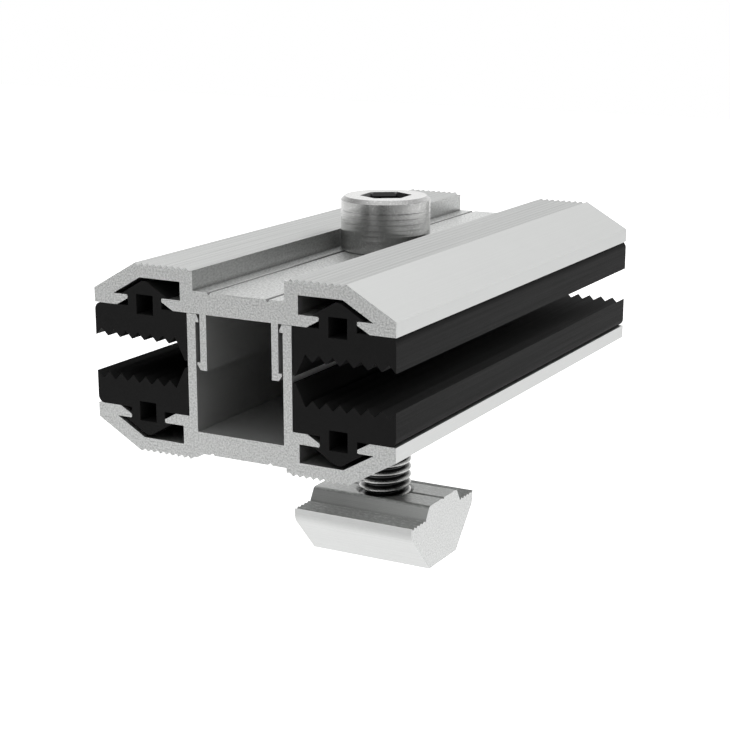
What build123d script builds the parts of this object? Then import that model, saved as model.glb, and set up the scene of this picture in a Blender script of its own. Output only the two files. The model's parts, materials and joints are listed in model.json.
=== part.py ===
"""Two-sided clamp for frameless solar modules, millimetres.

An upper and a lower aluminium extrusion face each other across an opening. Each
has a wing on either side, and each wing holds a rubber insert in a T-slot, so that
the edge of a glass module is gripped between two rubbers on the left and on the
right. The upper extrusion carries two thin legs whose hooks snap behind the barbs
of the lower one's walls. A socket head screw passes through both webs into a
T-slot nut that hangs below, in the slot of the mounting rail.

Frame: X across the clamp, Y along the extrusions, Z up. The origin is on the
screw's axis, in the plane of the lower extrusion's tooth tips, which is the
surface of the rail. The clamp is modelled closed, with no glass in it.

A wing is drawn once, for the right side, in x and in depth below its own tooth
tips. The lower extrusion takes depth as height, the upper one hangs it from the
top, and both are mirrored to the left.
"""

import math
import os

from build123d import *

# Both extrusions
clamp_length = 80.0
web_thickness = 3.0
lower_recess = 1.0  # the lower web's underside above the rail
wing_height = 6.0  # from the tooth tips to the face that the rubber lies on
side_height = 2.0  # the upright outer face of a wing
flank_run = 7.0  # from that side in to the outermost tooth
wing_wall = 2.0  # over the T-slot and along its sloping flank

# Serrations of the extrusions
tooth_pitch = 1.0
tooth_depth = 0.45
edge_drop = 0.35  # the channel's edge below the tips

# T-slot of a wing, from the channel outwards
slot_wall = 2.0
inner_lip = 3.0
mouth_width = 5.5
outer_lip = 5.5
lip_thickness = 1.5
lip_nose = 0.5  # upright end face of a lip
lip_chamfer = 1.8  # how far the slanted face runs back under a lip
lip_round = 0.2

# Score grooves along each web
score_spacing = 9.0
score_width = 0.7
score_depth = 0.35

# Walls of the lower extrusion, legs of the upper one
opening_height = 14.0  # between the faces that the rubbers lie on
wall_spacing = 16.0  # over the outer faces
wall_thickness = 1.3
closing_gap = 0.05  # the walls' tops below the upper web
leg_gap = 0.7  # between a wall and a leg
snap_clearance = 0.2  # a barb to a leg, and a hook to a wall
barb_height = 1.05
barb_nose = 0.3  # upright end face of a barb
barb_slant = 0.35
leg_thickness = 1.0
leg_length = 7.5
hook_height = 1.0
hook_nose = 0.3  # upright end face of a hook

# Rubber inserts, all four alike
glass_gap = 5.0  # between the upper and lower teeth
rubber_pitch = 2.0
rubber_depth = 1.0
rubber_round = 1.0
rubber_wall_gap = 0.1
rib_gap = 1.0  # between the upper and the lower rib
rib_flat = 0.4
stem_gap = 0.05  # to each lip
head_overhang = 1.0  # over each lip
head_top_gap = 0.2  # from the head's peak, taken sharp, to the slot's roof
head_round = 1.5
hollow_size = 2.7
hollow_drop = 0.35  # the middle of the hollow above the rubber's seat

# Socket head screw
thread_diameter = 8.0
screw_length = 45.0
thread_length = 28.0
shank_relief = 0.1  # the plain part is this much thinner than the thread
tip_chamfer = 0.8
head_diameter = 13.2
head_height = 8.0
head_edge_round = 0.65
head_seat_chamfer = 0.2
socket_flats = 6.0
socket_depth = 4.5
mouth_widening = 0.37
mouth_depth = 0.6
socket_turn = 33.0  # degrees, as the screw stands when it is tight
drill_point = 120.0  # degrees, at the bottom of the socket
head_side_gap = 0.4  # to each side of the channel
web_hole_gap = 0.5  # radial, round the thread

# T-slot nut, a short piece of extrusion that lies along the rail
nut_length = 20.0
nut_height = 9.9
thread_engaged = 7.7  # from the nut's top to the screw's tip
neck_width = 9.2
neck_height = 1.8
neck_round = 0.8
shoulder_width = 20.8
shoulder_side = 1.8
shoulder_round = 2.0
nut_tooth_depth = 0.35
nut_base = 9.25
nut_base_round = 0.3
nut_score_depth = 0.25
thread_clearance = 0.05  # radial
bore_chamfer = 0.45

# Places that follow from the sizes
half_channel = head_diameter / 2 + head_side_gap
slot_inside = half_channel + slot_wall
mouth_inside = slot_inside + inner_lip
mouth_outside = mouth_inside + mouth_width
half_width = mouth_outside + outer_lip
half_crown = half_width - flank_run
slot_floor = wing_height - lip_thickness
wall_outer = wall_spacing / 2
wall_inner = wall_outer - wall_thickness
leg_outer = wall_inner - leg_gap
leg_inner = leg_outer - leg_thickness
snap_depth = leg_gap - snap_clearance
clamp_height = 2 * wing_height + opening_height
upper_seat = wing_height + opening_height
channel_floor = upper_seat + web_thickness
screw_tip = channel_floor - screw_length
thread_radius = thread_diameter / 2
nut_top = screw_tip + thread_engaged
nut_bottom = nut_top - nut_height


def teeth(start, count, pitch, depth):
    """Sharp teeth from x = start towards the middle: tips at 0, and a valley after each."""
    points = []
    for k in range(count):
        tip = start - k * pitch
        points.append((tip, 0))
        points.append((tip - pitch / 2, depth))
    return points


def flank_inside(depth):
    """x of the slot's sloping roof, which lies wing_wall inside the wing's flank."""
    rise = wing_height - side_height
    return half_crown + (depth * flank_run - wing_wall * math.hypot(flank_run, rise)) / rise


def wing():
    """Outline of the right wing, from the channel's edge over the teeth to the inner lip."""
    count = int((half_crown - half_channel) / tooth_pitch)
    crown = teeth(half_crown, count, tooth_pitch, tooth_depth)
    outline = [(half_channel, edge_drop)]
    outline += reversed(crown)
    outline += [(half_width, wing_height - side_height), (half_width, wing_height)]
    outline += [(mouth_outside + lip_chamfer, wing_height), (mouth_outside, slot_floor + lip_nose)]
    outline += [(mouth_outside, slot_floor), (flank_inside(slot_floor), slot_floor)]
    outline += [(flank_inside(wing_wall), wing_wall), (slot_inside, wing_wall)]
    outline += [(slot_inside, slot_floor), (mouth_inside, slot_floor)]
    outline += [(mouth_inside, slot_floor + lip_nose), (mouth_inside - lip_chamfer, wing_height)]
    return outline


def lip_corners():
    """The corners at the ends of the right wing's two lips."""
    depths = (slot_floor, slot_floor + lip_nose)
    return [(x, depth) for x in (mouth_inside, mouth_outside) for depth in depths]


def hang(points):
    """The same points at the top of the clamp, upside down."""
    return [(x, clamp_height - depth) for x, depth in points]


def score(middle, face, bottom):
    """V groove across an outline, in a level face."""
    return [(middle - score_width / 2, face), (middle, bottom), (middle + score_width / 2, face)]


def mirrored(right_half):
    """Closed flat face from the right half of its outline."""
    left_half = [(-x, y) for x, y in reversed(right_half) if x > 0]
    return make_face(Polyline(*right_half, *left_half, close=True))


def both_sides(points):
    return [(side * x, y) for x, y in points for side in (-1, 1)]


def rounded(face, radius, corners):
    """A flat face with some of its corners rounded."""
    picked = [face.vertices().sort_by_distance((x, y, 0))[0] for x, y in corners]
    return fillet(picked, radius)


def along(plane, face, length):
    """A section run out both ways from its plane."""
    return extrude(plane * face, amount=length / 2, both=True)


def screw_hole():
    """Clearance for the screw, through the whole clamp."""
    return Pos(0, 0, clamp_height / 2) * Cylinder(thread_radius + web_hole_gap, clamp_height)


def upper_clamp():
    foot = upper_seat - leg_length
    hook_top = foot + hook_height
    hook_tip = leg_outer + snap_depth
    outline = score(score_spacing / 2, channel_floor, channel_floor - score_depth)
    outline += [(half_channel, channel_floor)]
    outline += hang(wing())
    outline += [(leg_outer, upper_seat), (leg_outer, hook_top), (hook_tip, hook_top)]
    outline += [(hook_tip, hook_top - hook_nose), (leg_outer, foot), (leg_inner, foot)]
    outline += [(leg_inner, upper_seat)]
    face = rounded(mirrored(outline), lip_round, both_sides(hang(lip_corners())))
    return along(Plane.XZ, face, clamp_length) - screw_hole()


def lower_clamp():
    web_top = lower_recess + web_thickness
    wall_top = upper_seat - closing_gap
    barb = wall_top - barb_height
    barb_tip = wall_inner - snap_depth
    outline = score(score_spacing / 2, lower_recess, lower_recess + score_depth)
    outline += [(half_channel, lower_recess)]
    outline += wing()
    outline += [(wall_outer, wing_height), (wall_outer, wall_top)]
    outline += [(barb_tip + barb_slant, wall_top), (barb_tip, barb + barb_nose), (barb_tip, barb)]
    outline += [(wall_inner, barb), (wall_inner, web_top)]
    face = rounded(mirrored(outline), lip_round, both_sides(lip_corners()))
    return along(Plane.XZ, face, clamp_length) - screw_hole()


def rubber():
    """The lower right insert: a toothed strip with a rib at the wall, a stem and an arrow head."""
    tips = wing_height + (opening_height - glass_gap) / 2
    rib_top = wing_height + (opening_height - rib_gap) / 2
    inside = wall_outer + rubber_wall_gap
    count = int((half_width - inside - rib_flat) / rubber_pitch)
    barb = slot_floor - stem_gap
    middle = (mouth_inside + mouth_outside) / 2
    peak = (middle, wing_wall + head_top_gap)
    heel = (half_width, wing_height)
    outline = [(inside, wing_height), (mouth_inside + stem_gap, wing_height)]
    outline += [(mouth_inside + stem_gap, barb), (mouth_inside - head_overhang, barb), peak]
    outline += [(mouth_outside + head_overhang, barb), (mouth_outside - stem_gap, barb)]
    outline += [(mouth_outside - stem_gap, wing_height), heel]
    outline += [(x, tips - depth) for x, depth in teeth(half_width, count, rubber_pitch, rubber_depth)]
    outline += [(inside + rib_flat, rib_top), (inside, rib_top)]
    face = make_face(Polyline(*outline, close=True))
    face = rounded(face, head_round, [peak])
    face = rounded(face, rubber_round, [heel])
    face -= Pos(middle, wing_height - hollow_drop) * Rectangle(hollow_size, hollow_size)
    return along(Plane.XZ, face, clamp_length)


def rubbers():
    """All four inserts, by node name."""
    upright = rubber()
    hanging = mirror(upright, about=Plane.XY.offset(clamp_height / 2))
    return {
        "rubber_lower_right": upright,
        "rubber_lower_left": mirror(upright, about=Plane.YZ),
        "rubber_upper_right": hanging,
        "rubber_upper_left": mirror(hanging, about=Plane.YZ),
    }


def clamp_screw():
    thread_end = screw_tip + thread_length
    shank_radius = thread_radius - shank_relief / 2
    outline = [(0, screw_tip), (thread_radius - tip_chamfer, screw_tip)]
    outline += [(thread_radius, screw_tip + tip_chamfer), (thread_radius, thread_end)]
    outline += [(shank_radius, thread_end), (shank_radius, channel_floor), (0, channel_floor)]
    shank = revolve(Plane.XZ * make_face(Polyline(*outline, close=True)), Axis.Z)
    head = Cylinder(head_diameter / 2, head_height)
    head = fillet(head.edges().sort_by(Axis.Z)[-1], head_edge_round)
    head = chamfer(head.edges().sort_by(Axis.Z)[0], head_seat_chamfer)
    head_middle = channel_floor + head_height / 2
    return shank + Pos(0, 0, head_middle) * head - socket()


def socket():
    """The hexagon socket, wider at its mouth, with the cone that the drill leaves at its bottom."""
    top = channel_floor + head_height
    floor = top - socket_depth
    slant = math.degrees(math.atan(mouth_widening / mouth_depth))
    hexagon = Rot(0, 0, socket_turn) * RegularPolygon(socket_flats / 2, 6, major_radius=False)
    wide = Rot(0, 0, socket_turn) * RegularPolygon(socket_flats / 2 + mouth_widening, 6, major_radius=False)
    point = socket_flats / 2 / math.tan(math.radians(drill_point / 2))
    flats = Pos(0, 0, floor) * extrude(hexagon, amount=socket_depth)
    mouth = Pos(0, 0, top) * extrude(wide, amount=mouth_depth, dir=(0, 0, -1), taper=slant)
    return flats + mouth + Pos(0, 0, floor - point / 2) * Cone(0, socket_flats / 2, point)


def slot_nut():
    """A toothed neck section that fills the rail's slot, on shoulders that pull up under its lips."""
    shoulder = nut_top - neck_height
    count = int((shoulder_width - neck_width) / 2 / tooth_pitch)
    serration = teeth(shoulder_width / 2, count, tooth_pitch, nut_tooth_depth)
    neck_corner = (neck_width / 2, nut_top)
    shoulder_corner = (shoulder_width / 2, shoulder - shoulder_side)
    base_corner = (nut_base / 2, nut_bottom)
    outline = score(0, nut_top, nut_top - nut_score_depth)[1:]
    outline += [neck_corner]
    outline += [(y, shoulder - depth) for y, depth in reversed(serration)]
    outline += [shoulder_corner, base_corner]
    face = rounded(mirrored(outline), neck_round, both_sides([neck_corner]))
    face = rounded(face, shoulder_round, both_sides([shoulder_corner]))
    face = rounded(face, nut_base_round, both_sides([base_corner]))
    return along(Plane.YZ, face, nut_length) - nut_bore()


def nut_bore():
    """The thread's bore, opened at both mouths."""
    radius = thread_radius + thread_clearance
    mouth = radius + bore_chamfer
    outline = [(0, nut_bottom), (mouth, nut_bottom), (radius, nut_bottom + bore_chamfer)]
    outline += [(radius, nut_top - bore_chamfer), (mouth, nut_top), (0, nut_top)]
    return revolve(Plane.XZ * make_face(Polyline(*outline, close=True)), Axis.Z)


parts = {
    "lower_clamp": lower_clamp(),
    "upper_clamp": upper_clamp(),
    **rubbers(),
    "clamp_screw": clamp_screw(),
    "slot_nut": slot_nut(),
}
os.makedirs("parts", exist_ok=True)
for name, solid in parts.items():
    export_step(solid, f"parts/{name}.step")
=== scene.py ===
"""The look of a two-sided clamp for frameless solar modules.

Lengths are in metres, in the frame of the model: X across the clamp, Y along the
extrusions, Z up, with the origin on the screw's axis at the rail's surface. The
extrusions, rubbers and nut are the model's own solids with finished materials. The
screw is built here with its thread, its turned head and its socket, and stands for
the model's plain one.
"""

import json
import math

import bmesh
import bpy
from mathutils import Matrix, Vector

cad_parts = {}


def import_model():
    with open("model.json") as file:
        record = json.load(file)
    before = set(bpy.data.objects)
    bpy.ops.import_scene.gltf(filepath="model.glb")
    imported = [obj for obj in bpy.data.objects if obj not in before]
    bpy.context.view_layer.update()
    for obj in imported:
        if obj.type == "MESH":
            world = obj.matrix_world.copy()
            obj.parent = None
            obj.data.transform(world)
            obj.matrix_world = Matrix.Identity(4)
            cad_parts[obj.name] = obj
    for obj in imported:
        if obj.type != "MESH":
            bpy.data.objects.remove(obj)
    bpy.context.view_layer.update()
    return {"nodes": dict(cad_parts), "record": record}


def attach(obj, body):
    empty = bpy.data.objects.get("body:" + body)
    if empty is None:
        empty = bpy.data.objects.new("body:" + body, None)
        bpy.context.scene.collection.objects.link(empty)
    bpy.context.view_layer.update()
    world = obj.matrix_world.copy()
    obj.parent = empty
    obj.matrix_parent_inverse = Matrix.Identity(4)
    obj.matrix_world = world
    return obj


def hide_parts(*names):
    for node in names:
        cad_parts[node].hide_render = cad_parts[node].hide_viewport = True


MM = 0.001

# Camera
CAMERA_PLACE = Vector((114.78, -213.70, 65.43)) * MM
CAMERA_AZIMUTH = math.radians(28.71)
CAMERA_TILT = math.radians(14.43)
LENS = 81.55
SENSOR = 36.0
SHIFT_X = -0.0099
SHIFT_Y = 0.0192
NEAREST = 0.01
FARTHEST = 10.0

# Head of the screw
SEGMENTS = 96
HEAD_SEAT = 23.0 * MM
HEAD_TOP = 31.0 * MM
HEAD_RADIUS = 6.6 * MM
RIM_CHAMFER = 0.56 * MM
SEAT_CHAMFER = 0.2 * MM
TOOL_MARKS = 6
TOOL_MARK_PITCH = 0.81 * MM
TOOL_MARK_LOWEST = 25.1 * MM
TOOL_MARK_WIDTH = 0.22 * MM
TOOL_MARK_DEPTH = 0.012 * MM

# Socket of the screw
SOCKET_APOTHEM = 3.0 * MM
SOCKET_DEPTH = 4.5 * MM
SOCKET_CORNER = math.radians(33.0)  # one corner's angle about the axis, from +X
MOUTH_WIDENING = 0.37 * MM
MOUTH_DEPTH = 0.6 * MM
DRILL_POINT = math.radians(120.0)
DRILL_RADIUS = 0.999 * SOCKET_APOTHEM  # just short of the flats

# Thread of the screw
SHANK_RADIUS = 3.95 * MM
THREAD_RADIUS = 4.0 * MM
THREAD_PITCH = 1.25 * MM
THREAD_DEPTH = 0.77 * MM
THREAD_TOP = 6.0 * MM
RUN_OUT = 1.25 * MM
SCREW_TIP = -22.0 * MM
TIP_CHAMFER = 0.8 * MM
# One pitch as shares of the pitch and of the depth: crest, flank, rounded root, flank
THREAD_PROFILE = ((0.0, 0.0), (0.16, 0.0), (0.45, 0.88), (0.52, 1.0), (0.64, 1.0), (0.71, 0.88))
TURNS_PAST_END = 1  # drawn past either end and pressed flat into it
MERGE_DISTANCE = 0.0005 * MM
SHARP_ANGLE = math.radians(25.0)

# Noise in the materials swings around this
NOISE_MIDDLE = 0.5

# Aluminium: a tint of 0 is the dull colour and 1 the bare one
CLAMP_BARE = (0.78, 0.788, 0.78)
CLAMP_DULL = (0.55, 0.558, 0.55)
NUT_BARE = (0.97, 0.978, 0.97)
NUT_DULL = (0.5, 0.507, 0.5)
ALUMINIUM_TINT = 0.5
ALUMINIUM_METALLIC = 0.82
ALUMINIUM_ROUGHNESS = 0.4
LINE_WIDTH = 0.18 * MM
LINE_LENGTH = 30.0 * MM
LINE_HEIGHT = 0.01 * MM
LINES = 1.1  # what the lines do to the tint where they are strong
PLAIN_LINES = 0.25  # the share of that elsewhere
LINE_ROUGHNESS = 0.08
SPECKLE = 0.25 * MM
SPECKLE_LENGTH = 0.55 * MM
SPECKLE_HEIGHT = 0.06 * MM
CLAMP_MOTTLE = 3.6  # what the speckle does to the tint
NUT_MOTTLE = 1.4
CLOUD = 9.0 * MM
CLOUD_TINT = 0.3
CLOUD_ROUGHNESS = 0.1
CUT_FACING = 0.95
# The axis that a profile was drawn along
ALONG_X = 0
ALONG_Y = 1

# Zones of the clamp, and of the nut's top: facings and leans are parts of a face's unit normal
ZONE_EDGE = 0.03 * MM
FACING_EDGE = 0.05
CHANNEL_HALF = 7.02 * MM
CHANNEL_FLOOR = 23.0 * MM
CHANNEL_WALL_SPECKLE = 0.6
CHANNEL_FLOOR_SPECKLE = 1.8
SCORE_BOTTOM = CHANNEL_FLOOR - 0.4 * MM
SCORE_TOP = CHANNEL_FLOOR - 0.06 * MM
TOOTH_LEAN = (0.6, 0.8)
HOLLOW_HALF = 6.75 * MM
HOLLOW_HEIGHTS = (3.95 * MM, 20.05 * MM)
HOLLOW_MATTE = 0.45
WING_SIDE = 20.0 * MM
# painted light: the wing's outer sides are painted brighter
WING_SIDE_PAINTED_LIGHT = 0.28
UPWARD = (0.5, 0.75)
UNDER_SPECKLE = 0.1
# painted shadow: the nut's faces that look up are painted darker, as under the clamp
NUT_TOP_PAINTED_SHADOW = -0.45

# Rubber
RUBBER = (0.0135, 0.0135, 0.0135)
WORN_RUBBER = (0.024, 0.024, 0.024)
RUBBER_ROUGHNESS = 0.68
RUBBER_SPECULAR = 0.2
RUBBER_GRAIN = 0.12 * MM
RUBBER_GRAIN_HEIGHT = 0.02 * MM
RUBBER_GRAIN_TINT = 1.0
RUBBER_LINE_TINT = 0.8
RUBBER_TINT = 0.3
RUBBER_WEAR = 0.6
RUBBER_SHEEN_CHANGE = 0.3

# Steel: a tint of 0 is the dull colour and 1 the bright one
STEEL = (0.75, 0.75, 0.74)
DULL_STEEL = (0.5, 0.5, 0.495)
# painted shade: the thread's roots and the socket are coloured near black
STEEL_PAINTED_SHADE = (0.065, 0.065, 0.065)
STEEL_ROUGHNESS = 0.25
# painted shade is full inside this radius and none outside the next, and stops just below the head's top
PAINTED_SHADE_FULL = 3.55 * MM
PAINTED_SHADE_NONE = 3.95 * MM
PAINTED_SHADE_EDGE = 0.06 * MM
TURNED_LINE = 0.09 * MM
TURNED_LINE_HEIGHT = 0.002 * MM
TURNED_LINE_TINT = 0.6
STEEL_MOTTLE = 3.5
STEEL_SPECKLE_HEIGHT = 0.006 * MM
STEEL_SPECKLE_ROUGHNESS = 0.1
# painted light: faces that look up are painted brighter steel than the sides
SIDE_TINT = 0.0
TOP_FACING = (0.75, 0.95)
TOP_PAINTED_LIGHT = 0.95

# Edge wear with a painted highlight, and painted shade in corners, score grooves and the hollow
EDGE_RADIUS = 0.12 * MM
EDGE_SAMPLES = 4
EDGE_TURN = (0.8, 0.99)
# edges painted lighter: partly wear, partly a painted highlight
EDGE_WEAR_AND_HIGHLIGHT = 0.3
EDGE_POLISH = -0.06
# the dark colour that the painted shade mixes in
PAINTED_SHADE_COLOUR = (0.1, 0.1, 0.1)
# painted shade in narrow corners and grooves, found by ambient occlusion
CORNER_SIZE = 0.7 * MM
CORNER_SAMPLES = 6
CORNER_OPENNESS = (0.45, 0.98)
CORNER_PAINTED_SHADE = 0.5
# painted shade in the score grooves of the channel floor
SCORE_PAINTED_SHADE = 0.8
# painted shade darkening the inside of the hollow
HOLLOW_PAINTED_SHADE = 0.35

# Surroundings: a direction is an azimuth from +X towards +Y, and an elevation
WHITE = (1.0, 1.0, 1.0, 1.0)
ROOM_LEVEL = 0.05
BACKDROP_TOWARDS = (math.radians(110.0), math.radians(18.0))
BACKDROP_SPREAD = math.radians(68.0)
BACKDROP_LEVEL = 0.97
CEILING_TOWARDS = (0.0, math.radians(90.0))
CEILING_SPREAD = math.radians(78.0)
CEILING_LEVEL = 0.3
FRONT_TOWARDS = (math.radians(-60.0), math.radians(62.0))
FRONT_SPREAD = math.radians(55.0)
FRONT_LEVEL = 0.35
FLOOR_HEIGHT = -0.45
FLOOR_HALF = 5.0
FLOOR_COLOUR = (0.8, 0.8, 0.8, 1.0)
FLOOR_GLOW = 0.75
DIM_TOWARDS = (math.radians(-55.0), math.radians(-30.0))
DIM_SPREAD = math.radians(70.0)
DIM_LEVEL = 0.65
OVERHEAD_TOWARDS = (math.radians(118.0), math.radians(80.0))
OVERHEAD_DISTANCE = 1.1
OVERHEAD_SIZE = 1.6
OVERHEAD_POWER = 3.0


def camera():
    """The camera of the photo."""
    data = bpy.data.cameras.new("camera")
    data.lens = LENS
    data.sensor_width = SENSOR
    data.shift_x = SHIFT_X
    data.shift_y = SHIFT_Y
    data.clip_start = NEAREST
    data.clip_end = FARTHEST
    view = bpy.data.objects.new("camera", data)
    view.location = CAMERA_PLACE
    view.rotation_euler = (math.pi / 2 - CAMERA_TILT, 0.0, CAMERA_AZIMUTH)
    bpy.context.scene.collection.objects.link(view)
    bpy.context.scene.camera = view


def placed(data, name):
    """An object of this data, in the scene."""
    made = bpy.data.objects.new(name, data)
    bpy.context.scene.collection.objects.link(made)
    return made


def ring(bm, height, radius_at):
    """Vertices around the screw's axis, each at the radius that its angle asks for."""
    made = []
    for step in range(SEGMENTS):
        angle = SOCKET_CORNER + 2.0 * math.pi * step / SEGMENTS
        radius = radius_at(angle)
        made.append(bm.verts.new((radius * math.cos(angle), radius * math.sin(angle), height)))
    return made


def circle(bm, radius, height):
    return ring(bm, height, lambda angle: radius)


def hexagon(bm, apothem, height):
    sector = math.pi / 3

    def radius_at(angle):
        from_corner = (angle - SOCKET_CORNER) % sector
        return apothem / math.cos(from_corner - sector / 2)

    return ring(bm, height, radius_at)


def skin(bm, rings):
    """Faces from each ring to the next."""
    for lower, upper in zip(rings, rings[1:]):
        for step in range(SEGMENTS):
            after = (step + 1) % SEGMENTS
            bm.faces.new((lower[step], lower[after], upper[after], upper[step]))


def close(bm, around, height):
    """Faces from a ring to one point on the axis."""
    middle = bm.verts.new((0.0, 0.0, height))
    for step in range(SEGMENTS):
        bm.faces.new((around[step], around[(step + 1) % SEGMENTS], middle))


def head_outline():
    """Radius and height from the end of the thread to the inner edge of the head's rim chamfer."""
    outline = [(SHANK_RADIUS, THREAD_TOP), (SHANK_RADIUS, HEAD_SEAT)]
    outline += [(HEAD_RADIUS - SEAT_CHAMFER, HEAD_SEAT), (HEAD_RADIUS, HEAD_SEAT + SEAT_CHAMFER)]
    for mark in range(TOOL_MARKS):
        height = TOOL_MARK_LOWEST + mark * TOOL_MARK_PITCH
        outline.append((HEAD_RADIUS, height - TOOL_MARK_WIDTH / 2))
        outline.append((HEAD_RADIUS - TOOL_MARK_DEPTH, height))
        outline.append((HEAD_RADIUS, height + TOOL_MARK_WIDTH / 2))
    return outline + [(HEAD_RADIUS, HEAD_TOP - RIM_CHAMFER), (HEAD_RADIUS - RIM_CHAMFER, HEAD_TOP)]


def head(bm):
    """Plain shank, head and socket."""
    floor = HEAD_TOP - SOCKET_DEPTH
    point = floor - SOCKET_APOTHEM / math.tan(DRILL_POINT / 2)
    rings = [circle(bm, radius, height) for radius, height in head_outline()]
    rings.append(hexagon(bm, SOCKET_APOTHEM + MOUTH_WIDENING, HEAD_TOP))
    rings.append(hexagon(bm, SOCKET_APOTHEM, HEAD_TOP - MOUTH_DEPTH))
    rings.append(hexagon(bm, SOCKET_APOTHEM, floor))
    rings.append(circle(bm, DRILL_RADIUS, floor))
    skin(bm, rings)
    close(bm, rings[-1], point)


def thread_vertex(bm, row, step):
    """A vertex of the helix; past either end the rows run together in the end's own ring."""
    share, depth = THREAD_PROFILE[row % len(THREAD_PROFILE)]
    turns = row // len(THREAD_PROFILE) + share + step / SEGMENTS - TURNS_PAST_END
    height = min(max(SCREW_TIP + turns * THREAD_PITCH, SCREW_TIP), THREAD_TOP)
    radius = THREAD_RADIUS - THREAD_DEPTH * depth
    radius = min(radius, THREAD_RADIUS - TIP_CHAMFER + height - SCREW_TIP)
    fade = max(0.0, 1.0 - (THREAD_TOP - height) / RUN_OUT)
    radius += (SHANK_RADIUS - radius) * fade
    angle = SOCKET_CORNER + 2.0 * math.pi * step / SEGMENTS
    return bm.verts.new((radius * math.cos(angle), radius * math.sin(angle), height))


def thread(bm):
    """The helical thread, from the tip's flat end up to the plain shank."""
    rows_per_turn = len(THREAD_PROFILE)
    turns = math.ceil((THREAD_TOP - SCREW_TIP) / THREAD_PITCH)
    rows = (turns + 2 * TURNS_PAST_END) * rows_per_turn
    grid = [[thread_vertex(bm, row, step) for step in range(SEGMENTS)] for row in range(rows)]
    for lower, upper in zip(grid, grid[1:]):
        for step in range(SEGMENTS - 1):
            bm.faces.new((lower[step], lower[step + 1], upper[step + 1], upper[step]))
    for row in range(rows - rows_per_turn - 1):
        joined = row + rows_per_turn
        bm.faces.new((grid[row][-1], grid[joined][0], grid[joined + 1][0], grid[row + 1][-1]))
    end = circle(bm, THREAD_RADIUS - TIP_CHAMFER, SCREW_TIP)
    close(bm, end, SCREW_TIP)


def crisp(bm):
    """Smooth faces, with the edges that turn sharply kept sharp."""
    for face in bm.faces:
        face.smooth = True
    for edge in bm.edges:
        edge.smooth = len(edge.link_faces) == 2 and edge.calc_face_angle() < SHARP_ANGLE


def screw():
    bm = bmesh.new()
    head(bm)
    thread(bm)
    bmesh.ops.remove_doubles(bm, verts=bm.verts, dist=MERGE_DISTANCE)
    bmesh.ops.recalc_face_normals(bm, faces=bm.faces)
    crisp(bm)
    mesh = bpy.data.meshes.new("threaded_screw")
    bm.to_mesh(mesh)
    bm.free()
    made = placed(mesh, "threaded_screw")
    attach(made, "screw")
    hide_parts("clamp_screw")
    return made


def material(name, **settings):
    """A material of one Principled shader, with its tree and shader."""
    made = bpy.data.materials.new(name)
    made.use_nodes = True
    shader = made.node_tree.nodes["Principled BSDF"]
    for key, value in settings.items():
        shader.inputs[key.replace("_", " ")].default_value = value
    return made, made.node_tree, shader


def node(tree, kind, **settings):
    made = tree.nodes.new("ShaderNode" + kind)
    for key, value in settings.items():
        setattr(made, key, value)
    return made


def axes(tree, vector):
    """The X, Y and Z of a vector."""
    made = node(tree, "SeparateXYZ")
    tree.links.new(vector, made.inputs["Vector"])
    return made.outputs


def math_node(tree, operation, *values):
    """The result of a calculation on outputs and decimal numbers."""
    made = node(tree, "Math", operation=operation)
    for socket, value in zip(made.inputs, values):
        if isinstance(value, float):
            socket.default_value = value
        else:
            tree.links.new(value, socket)
    return made.outputs["Value"]


def grain(tree, place, sizes):
    """Noise around a half, in grains as long as these sizes along X, Y and Z."""
    scaled = node(tree, "VectorMath", operation="DIVIDE")
    scaled.inputs[1].default_value = sizes
    noise = node(tree, "TexNoise")
    noise.inputs["Scale"].default_value = 1.0
    tree.links.new(place, scaled.inputs[0])
    tree.links.new(scaled.outputs["Vector"], noise.inputs["Vector"])
    return noise.outputs["Fac"]


def centred(tree, value, share):
    """Noise around a half turned into noise around 0, times a share."""
    return product(tree, math_node(tree, "SUBTRACT", value, NOISE_MIDDLE), share)


def total(tree, *values):
    """The sum of outputs and numbers."""
    first = values[0]
    for value in values[1:]:
        first = math_node(tree, "ADD", first, value)
    return first


def product(tree, *values):
    """The product of outputs and numbers."""
    first = values[0]
    for value in values[1:]:
        first = math_node(tree, "MULTIPLY", first, value)
    return first


def ramp(tree, value, start, end, first, last):
    """A smooth change from first to last as the value goes from start to end."""
    made = node(tree, "MapRange", interpolation_type="SMOOTHSTEP")
    for name, number in zip(("From Min", "From Max", "To Min", "To Max"), (start, end, first, last)):
        made.inputs[name].default_value = number
    tree.links.new(value, made.inputs["Value"])
    return made.outputs["Result"]


def above(tree, value, limit, soft):
    """1 above a limit, falling to 0 over a soft distance below it."""
    return ramp(tree, value, limit - soft, limit, 0.0, 1.0)


def below(tree, value, limit, soft):
    """1 below a limit, falling to 0 over a soft distance above it."""
    return ramp(tree, value, limit, limit + soft, 1.0, 0.0)


def size_along(tree, vector, axis):
    """How long a vector is along one axis, whichever way it points."""
    return math_node(tree, "ABSOLUTE", axes(tree, vector)[axis])


def edge_mask(tree):
    """1 along the edges and 0 away from them."""
    rounded = node(tree, "Bevel", samples=EDGE_SAMPLES)
    rounded.inputs["Radius"].default_value = EDGE_RADIUS
    alike = node(tree, "VectorMath", operation="DOT_PRODUCT")
    tree.links.new(rounded.outputs["Normal"], alike.inputs[0])
    tree.links.new(node(tree, "NewGeometry").outputs["Normal"], alike.inputs[1])
    return ramp(tree, alike.outputs["Value"], *EDGE_TURN, 1.0, 0.0)


def sheltered(tree):
    """1 in narrow corners and grooves and 0 on open faces; the aluminium gets painted shade there."""
    made = node(tree, "AmbientOcclusion", samples=CORNER_SAMPLES, only_local=True)
    made.inputs["Distance"].default_value = CORNER_SIZE
    return ramp(tree, made.outputs["AO"], *CORNER_OPENNESS, 1.0, 0.0)


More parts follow.
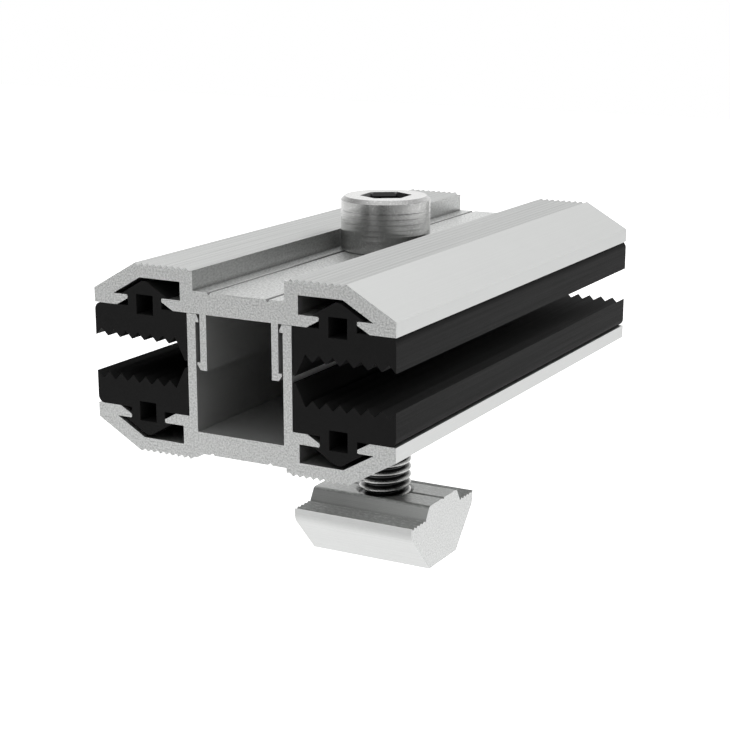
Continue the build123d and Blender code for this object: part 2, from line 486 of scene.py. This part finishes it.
def blend(tree, first, second, share):
    """A colour between two, each a colour or an output."""
    made = node(tree, "Mix", data_type="RGBA")
    for name, colour in (("A", first), ("B", second)):
        if isinstance(colour, tuple):
            made.inputs[name].default_value = (*colour, 1.0)
        else:
            tree.links.new(colour, made.inputs[name])
    tree.links.new(share, made.inputs["Factor"])
    return made.outputs["Result"]


def relief(tree, shader, *layers):
    """Bumps from pairs of a noise and its height, one on top of the other."""
    under = None
    for height, distance in layers:
        bump = node(tree, "Bump")
        bump.inputs["Distance"].default_value = distance
        tree.links.new(height, bump.inputs["Height"])
        if under:
            tree.links.new(under, bump.inputs["Normal"])
        under = bump.outputs["Normal"]
    tree.links.new(under, shader.inputs["Normal"])


def aluminium(name, dull, bare, mottle, axis, zones):
    """Aluminium drawn along an axis: fine lines along it, and speckle on the faces cut across it.

    zones gives what is different elsewhere: speckle, strong lines, matte share, painted shade in recesses,
    and painted light and shade on some facings.
    """
    made, tree, shader = material(name, Metallic=ALUMINIUM_METALLIC)
    coordinates = node(tree, "TexCoord")
    place = coordinates.outputs["Object"]
    facing = coordinates.outputs["Normal"]
    cut = above(tree, size_along(tree, facing, axis), CUT_FACING, FACING_EDGE)
    whole = math_node(tree, "SUBTRACT", 1.0, cut)
    rough, lined, matte, zone_painted_shade, painted_light_and_shade = zones(tree, place, facing, whole)

    line_size = [LINE_WIDTH] * 3
    line_size[axis] = LINE_LENGTH
    long_speckle_size = [SPECKLE] * 3
    long_speckle_size[axis] = SPECKLE_LENGTH
    lines = grain(tree, place, line_size)
    cloud = grain(tree, place, [CLOUD] * 3)
    cut_speckle = grain(tree, place, [SPECKLE] * 3)
    long_speckle = grain(tree, place, long_speckle_size)

    streaks = product(tree, centred(tree, lines, LINES), math_node(tree, "MAXIMUM", lined, PLAIN_LINES))
    on_cut = product(tree, centred(tree, cut_speckle, mottle), cut)
    on_rough = product(tree, centred(tree, long_speckle, mottle), rough)
    # edges lighter: wear and a painted highlight
    edges = edge_mask(tree)
    # painted light and shade from the zones: brighter wing sides, a darker nut top
    share = total(tree, streaks, on_cut, on_rough, centred(tree, cloud, CLOUD_TINT), painted_light_and_shade, ALUMINIUM_TINT,
                  product(tree, edges, EDGE_WEAR_AND_HIGHLIGHT))
    # painted shade: corners, score grooves and the hollow are mixed towards a dark colour
    painted_shade_share = math_node(tree, "MAXIMUM", product(tree, sheltered(tree), CORNER_PAINTED_SHADE), zone_painted_shade)
    tree.links.new(blend(tree, blend(tree, dull, bare, share), PAINTED_SHADE_COLOUR, painted_shade_share), shader.inputs["Base Color"])

    roughness = total(tree, centred(tree, cloud, CLOUD_ROUGHNESS), centred(tree, lines, LINE_ROUGHNESS),
                      product(tree, edges, EDGE_POLISH), ALUMINIUM_ROUGHNESS)
    tree.links.new(roughness, shader.inputs["Roughness"])
    if matte:
        tree.links.new(math_node(tree, "SUBTRACT", ALUMINIUM_METALLIC, matte), shader.inputs["Metallic"])
    speckle = total(tree, product(tree, cut_speckle, cut), product(tree, long_speckle, rough))
    relief(tree, shader, (lines, LINE_HEIGHT), (speckle, SPECKLE_HEIGHT))
    return made


def clamp_zones(tree, place, facing, whole):
    """Speckle in the channel, lines on the teeth, painted shade in the score grooves, a matte hollow with
    painted shade, and wing sides painted brighter.
    """
    across = size_along(tree, place, "X")
    height = axes(tree, place)["Z"]
    lean = size_along(tree, facing, "X")
    level = above(tree, axes(tree, facing)["Z"], CUT_FACING, FACING_EDGE)
    channel = product(tree, below(tree, across, CHANNEL_HALF, ZONE_EDGE),
                      above(tree, height, SCORE_BOTTOM, ZONE_EDGE), whole)
    more_on_floor = product(tree, level, CHANNEL_FLOOR_SPECKLE - CHANNEL_WALL_SPECKLE)
    amount = total(tree, more_on_floor, CHANNEL_WALL_SPECKLE)
    teeth = product(tree, above(tree, lean, TOOTH_LEAN[0], FACING_EDGE),
                    below(tree, lean, TOOTH_LEAN[1], FACING_EDGE))
    hollow = product(tree, below(tree, across, HOLLOW_HALF, ZONE_EDGE),
                     above(tree, height, HOLLOW_HEIGHTS[0], ZONE_EDGE),
                     below(tree, height, HOLLOW_HEIGHTS[1], ZONE_EDGE), whole)
    scores = product(tree, channel, below(tree, height, SCORE_TOP, ZONE_EDGE))
    # painted light: the wing's outer sides, facing across, are painted brighter
    sides = product(tree, above(tree, lean, CUT_FACING, FACING_EDGE),
                    above(tree, across, WING_SIDE, ZONE_EDGE))
    rough = product(tree, channel, amount)
    matte = product(tree, hollow, HOLLOW_MATTE)
    # painted shade in the score grooves and in the hollow
    zone_painted_shade = math_node(tree, "MAXIMUM", product(tree, scores, SCORE_PAINTED_SHADE),
                      product(tree, hollow, HOLLOW_PAINTED_SHADE))
    return rough, teeth, matte, zone_painted_shade, product(tree, sides, WING_SIDE_PAINTED_LIGHT)


def nut_zones(tree, place, facing, whole):
    """Speckle, and a painted shadow of the clamp above on the faces that look up."""
    top = product(tree, ramp(tree, axes(tree, facing)["Z"], *UPWARD, UNDER_SPECKLE, 1.0), whole)
    return top, 0.0, 0.0, 0.0, product(tree, top, NUT_TOP_PAINTED_SHADOW)


def rubber():
    """Black extruded rubber, greyer along its edges, with a fine open grain."""
    made, tree, shader = material("rubber", Specular_IOR_Level=RUBBER_SPECULAR)
    place = node(tree, "TexCoord").outputs["Object"]
    fine = grain(tree, place, [RUBBER_GRAIN] * 3)
    lines = grain(tree, place, (LINE_WIDTH, LINE_LENGTH, LINE_WIDTH))
    share = total(tree, centred(tree, fine, RUBBER_GRAIN_TINT), centred(tree, lines, RUBBER_LINE_TINT),
                  product(tree, edge_mask(tree), RUBBER_WEAR), RUBBER_TINT)
    tree.links.new(blend(tree, RUBBER, WORN_RUBBER, share), shader.inputs["Base Color"])
    roughness = total(tree, centred(tree, fine, RUBBER_SHEEN_CHANGE),
                      centred(tree, lines, RUBBER_SHEEN_CHANGE), RUBBER_ROUGHNESS)
    tree.links.new(roughness, shader.inputs["Roughness"])
    relief(tree, shader, (lines, LINE_HEIGHT), (fine, RUBBER_GRAIN_HEIGHT))
    return made


def around_axis(tree, place):
    """Place as distance from the screw's axis and height, so that noise makes rings."""
    parts = axes(tree, place)
    flat = node(tree, "CombineXYZ")
    radius = node(tree, "VectorMath", operation="LENGTH")
    turned = node(tree, "CombineXYZ")
    tree.links.new(parts["X"], flat.inputs["X"])
    tree.links.new(parts["Y"], flat.inputs["Y"])
    tree.links.new(flat.outputs["Vector"], radius.inputs[0])
    tree.links.new(radius.outputs["Value"], turned.inputs["X"])
    tree.links.new(parts["Z"], turned.inputs["Z"])
    return turned.outputs["Vector"]


def steel():
    """Turned steel, with painted shade in the thread's roots and in the socket."""
    made, tree, shader = material("screw_steel", Metallic=1.0)
    coordinates = node(tree, "TexCoord")
    place = coordinates.outputs["Object"]
    turned = around_axis(tree, place)
    radius = axes(tree, turned)["X"]
    height = axes(tree, turned)["Z"]
    rings = grain(tree, turned, [TURNED_LINE] * 3)
    speckle = grain(tree, place, [SPECKLE] * 3)
    cloud = grain(tree, place, [CLOUD] * 3)

    # painted shade in the thread's roots and in the socket
    painted_shade_in_recesses = product(tree, ramp(tree, radius, PAINTED_SHADE_FULL, PAINTED_SHADE_NONE, 1.0, 0.0),
                    below(tree, height, HEAD_TOP - PAINTED_SHADE_EDGE, PAINTED_SHADE_EDGE / 2))
    # painted light: faces that look up are painted brighter than the sides
    top_painted_light = ramp(tree, axes(tree, coordinates.outputs["Normal"])["Z"], *TOP_FACING, SIDE_TINT, TOP_PAINTED_LIGHT)
    # edges lighter: wear and a painted highlight
    share = total(tree, top_painted_light, centred(tree, rings, TURNED_LINE_TINT), centred(tree, speckle, STEEL_MOTTLE),
                  product(tree, edge_mask(tree), EDGE_WEAR_AND_HIGHLIGHT))
    colour = blend(tree, blend(tree, DULL_STEEL, STEEL, share), STEEL_PAINTED_SHADE, painted_shade_in_recesses)
    tree.links.new(colour, shader.inputs["Base Color"])

    roughness = total(tree, centred(tree, cloud, CLOUD_ROUGHNESS),
                      centred(tree, speckle, STEEL_SPECKLE_ROUGHNESS), STEEL_ROUGHNESS)
    tree.links.new(roughness, shader.inputs["Roughness"])
    relief(tree, shader, (rings, TURNED_LINE_HEIGHT), (speckle, STEEL_SPECKLE_HEIGHT))
    return made


def direction(azimuth, elevation):
    """A unit vector; the azimuth is counted from +X towards +Y."""
    flat = math.cos(elevation)
    return flat * math.cos(azimuth), flat * math.sin(azimuth), math.sin(elevation)


def lobe(tree, place, towards, spread, amount):
    """A soft patch of the surroundings: amount straight towards a direction, falling to 0 at its spread."""
    unit = node(tree, "VectorMath", operation="NORMALIZE")
    facing = node(tree, "VectorMath", operation="DOT_PRODUCT")
    facing.inputs[1].default_value = direction(*towards)
    tree.links.new(place, unit.inputs[0])
    tree.links.new(unit.outputs["Vector"], facing.inputs[0])
    return ramp(tree, facing.outputs["Value"], math.cos(spread), 1.0, 0.0, amount)


def world():
    """A dim room, bright behind the object, overhead and high in front; the camera sees plain white."""
    made = bpy.data.worlds.new("studio")
    bpy.context.scene.world = made
    made.use_nodes = True
    tree = made.node_tree
    room = tree.nodes["Background"]
    room.inputs["Color"].default_value = WHITE
    white = node(tree, "Background")
    white.inputs["Color"].default_value = WHITE
    place = node(tree, "TexCoord").outputs["Generated"]
    backdrop = lobe(tree, place, BACKDROP_TOWARDS, BACKDROP_SPREAD, BACKDROP_LEVEL)
    ceiling = lobe(tree, place, CEILING_TOWARDS, CEILING_SPREAD, CEILING_LEVEL)
    front = lobe(tree, place, FRONT_TOWARDS, FRONT_SPREAD, FRONT_LEVEL)
    path = node(tree, "LightPath")
    shown = node(tree, "MixShader")
    tree.links.new(total(tree, backdrop, ceiling, front, ROOM_LEVEL), room.inputs["Strength"])
    tree.links.new(path.outputs["Is Camera Ray"], shown.inputs["Fac"])
    tree.links.new(room.outputs["Background"], shown.inputs[1])
    tree.links.new(white.outputs["Background"], shown.inputs[2])
    tree.links.new(shown.outputs["Shader"], tree.nodes["World Output"].inputs["Surface"])


def floor_material():
    """Plain white that keeps a shadow; metal sees it fade towards the dim side of the room."""
    made = bpy.data.materials.new("floor_white")
    made.use_nodes = True
    tree = made.node_tree
    tree.nodes.clear()
    paint = node(tree, "BsdfDiffuse")
    paint.inputs["Color"].default_value = FLOOR_COLOUR
    glow = node(tree, "Emission")
    both = node(tree, "AddShader")
    out = node(tree, "OutputMaterial")
    path = node(tree, "LightPath")
    place = node(tree, "NewGeometry").outputs["Position"]
    dim = lobe(tree, place, DIM_TOWARDS, DIM_SPREAD, DIM_LEVEL)
    faded = math_node(tree, "SUBTRACT", FLOOR_GLOW, dim)
    in_metal = product(tree, path.outputs["Is Glossy Ray"], faded)
    seen = math_node(tree, "MAXIMUM", path.outputs["Is Camera Ray"], in_metal)
    tree.links.new(seen, glow.inputs["Strength"])
    tree.links.new(paint.outputs["BSDF"], both.inputs[0])
    tree.links.new(glow.outputs["Emission"], both.inputs[1])
    tree.links.new(both.outputs["Shader"], out.inputs["Surface"])
    return made


def floor():
    """A pale floor well below the object, which hangs free of it."""
    bm = bmesh.new()
    for x, y in ((-1, -1), (1, -1), (1, 1), (-1, 1)):
        bm.verts.new((x * FLOOR_HALF, y * FLOOR_HALF, FLOOR_HEIGHT))
    bm.faces.new(bm.verts)
    mesh = bpy.data.meshes.new("floor")
    bm.to_mesh(mesh)
    bm.free()
    made = placed(mesh, "floor")
    made.data.materials.append(floor_material())


def softbox(name, towards, distance, size, power):
    """A square soft lamp that faces the object."""
    data = bpy.data.lights.new(name, "AREA")
    data.shape = "SQUARE"
    data.size = size
    data.energy = power
    lamp = placed(data, name)
    away = Vector(direction(*towards))
    lamp.location = away * distance
    lamp.rotation_euler = away.to_track_quat("Z", "Y").to_euler()


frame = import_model()
bpy.context.scene.view_settings.view_transform = "Standard"
camera()
world()
floor()
softbox("overhead", OVERHEAD_TOWARDS, OVERHEAD_DISTANCE, OVERHEAD_SIZE, OVERHEAD_POWER)
finishes = {
    "aluminium": aluminium("aluminium", CLAMP_DULL, CLAMP_BARE, CLAMP_MOTTLE, ALONG_Y, clamp_zones),
    "rubber": rubber(),
    "screw_steel": steel(),
    "nut_aluminium": aluminium("nut_aluminium", NUT_DULL, NUT_BARE, NUT_MOTTLE, ALONG_X, nut_zones),
}
for part in frame["record"]["subparts"]:
    shown = frame["nodes"][part["node"]]
    shown.data.materials.clear()
    shown.data.materials.append(finishes[part["material_slot"]])
bolt = screw()
bolt.data.materials.append(finishes["screw_steel"])
